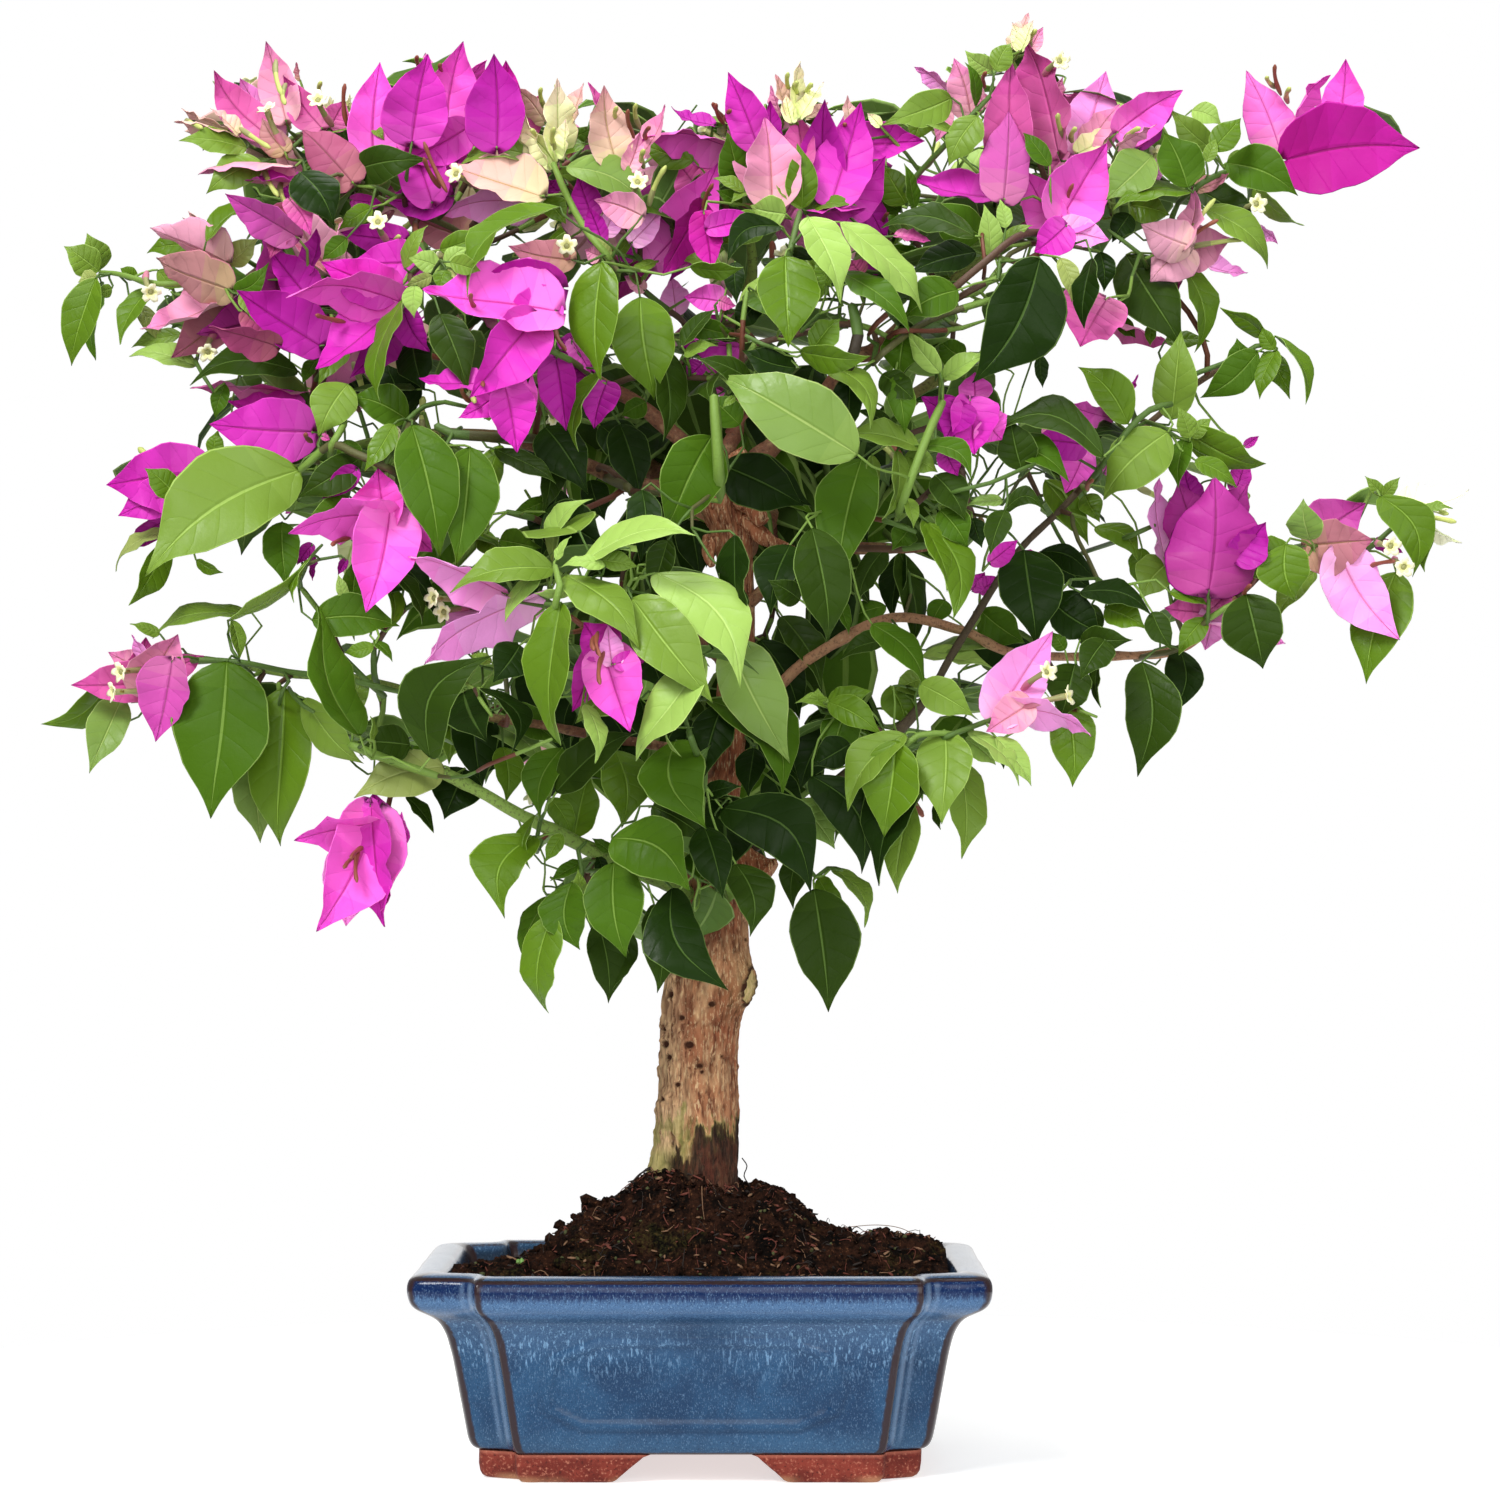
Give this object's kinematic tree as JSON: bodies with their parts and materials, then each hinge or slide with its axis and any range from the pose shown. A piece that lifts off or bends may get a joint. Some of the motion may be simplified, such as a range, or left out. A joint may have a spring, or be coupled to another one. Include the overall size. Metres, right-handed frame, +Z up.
{
  "type": "potted bougainvillea bonsai",
  "caption": "Small bougainvillea trained as a tree, with a stout trunk, a wide crown of leaves and magenta bracts, in a glazed rectangular pot on corner feet.",
  "frame": {"origin": "on the table under the middle of the whole plant's box", "axes": "+Z up, +X along the pot's long side to the right, +Y away from the viewer of its front"},
  "size_m": [0.51, 0.339, 0.517],
  "materials": {
    "glaze": "glossy speckled blue glaze that thins to brown on the edges",
    "terracotta": "bare fired clay, matt",
    "soil": "dark peat with fibres",
    "bark": "grooved tan bark, green near the ground",
    "limb_bark": "thin brown and green bark",
    "leaves": "glossy green leaf",
    "bracts": "papery magenta and pink bract"
  },
  "bodies": {
    "root": {"bough_back_left": "limb_bark", "bough_back_right": "limb_bark", "bough_centre_leader": "limb_bark", "bough_left_leader": "limb_bark", "bough_left_slim": "limb_bark", "bough_left_thick": "limb_bark", "bough_left_thick_outer": "limb_bark", "bough_left_upper": "limb_bark", "bough_right_arch": "limb_bark", "bough_right_diagonal": "limb_bark", "bough_right_diagonal_outer": "limb_bark", "bough_right_leader": "limb_bark", "bough_right_middle": "limb_bark", "foot_back_left": "terracotta", "foot_back_right": "terracotta", "foot_front_left": "terracotta", "foot_front_right": "terracotta", "mass_back_low_left": "leaves", "mass_back_low_right": "leaves", "mass_back_mid": "leaves", "mass_back_mid_left": "leaves", "mass_back_mid_right": "leaves", "mass_back_top": "leaves", "mass_back_top_left": "leaves", "mass_back_top_right": "leaves", "mass_centre_front": "leaves", "mass_dusty_left": "bracts", "mass_far_right": "leaves", "mass_far_top_right": "bracts", "mass_front_centre": "leaves", "mass_front_top": "bracts", "mass_leaf_low_right": "leaves", "mass_left_tip": "leaves", "mass_low_centre": "leaves", "mass_low_centre_left": "leaves", "mass_low_left": "leaves", "mass_low_left_bloom": "bracts", "mass_low_left_inner": "leaves", "mass_low_left_mid": "leaves", "mass_low_right": "leaves", "mass_low_right_bloom": "bracts", "mass_low_right_leaves": "leaves", "mass_mid_left": "leaves", "mass_mid_left_inner": "leaves", "mass_mid_right": "leaves", "mass_mid_right_inner": "leaves", "mass_right_bloom": "bracts", "mass_right_tip": "leaves", "mass_top_centre": "leaves", "mass_top_centre_right": "leaves", "mass_top_left": "leaves", "mass_top_left_mid": "bracts", "mass_top_right": "leaves", "mass_top_right_outer": "bracts", "mass_upper_front_right": "leaves", "mass_upper_left": "bracts", "mass_upper_right": "leaves", "pot": "glaze", "soil": "soil", "trunk": "bark"}
  },
  "joints": []
}
